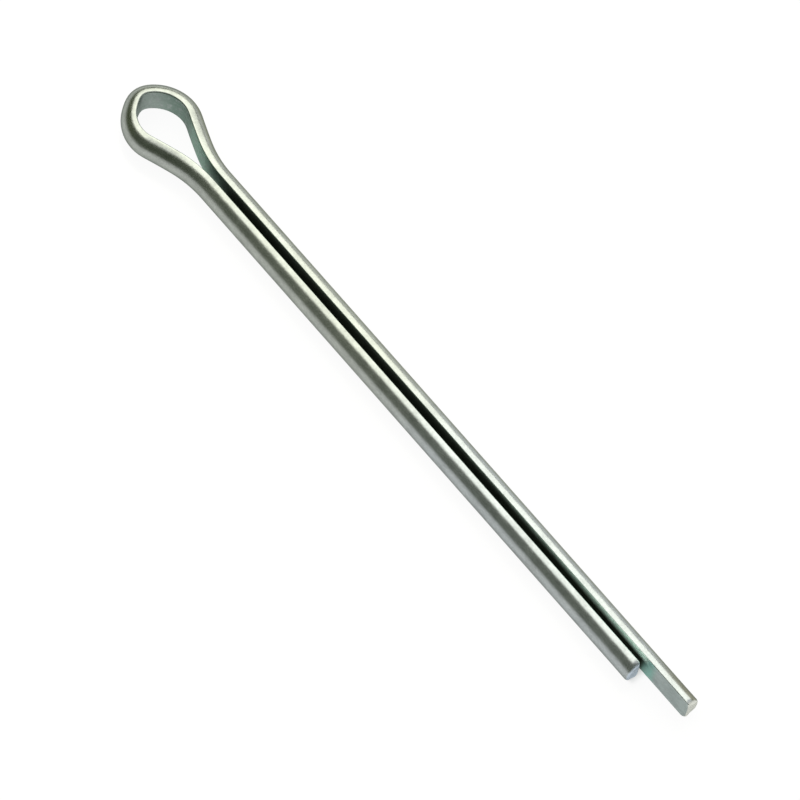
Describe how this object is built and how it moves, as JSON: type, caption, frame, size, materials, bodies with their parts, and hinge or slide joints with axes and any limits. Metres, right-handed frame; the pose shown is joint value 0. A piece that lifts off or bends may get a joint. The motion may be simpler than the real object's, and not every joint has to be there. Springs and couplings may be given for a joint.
{
  "type": "split cotter pin",
  "caption": "Split pin folded from half-round steel wire, with an eye at one end and two straight legs, one longer than the other, cut square at the tips.",
  "frame": {"origin": "on the axis of the shank, at the neck where the straight legs begin", "axes": "+X along the shank to the cut tips, +Y to the side of the long leg, +Z along the axis of the eye"},
  "size_m": [0.0622, 0.006, 0.0028],
  "materials": {
    "zinc_plated_wire": "satin zinc plating on drawn low-carbon steel wire, slightly grainy"
  },
  "bodies": {
    "root": {"cotter_pin": "zinc_plated_wire"}
  },
  "joints": []
}
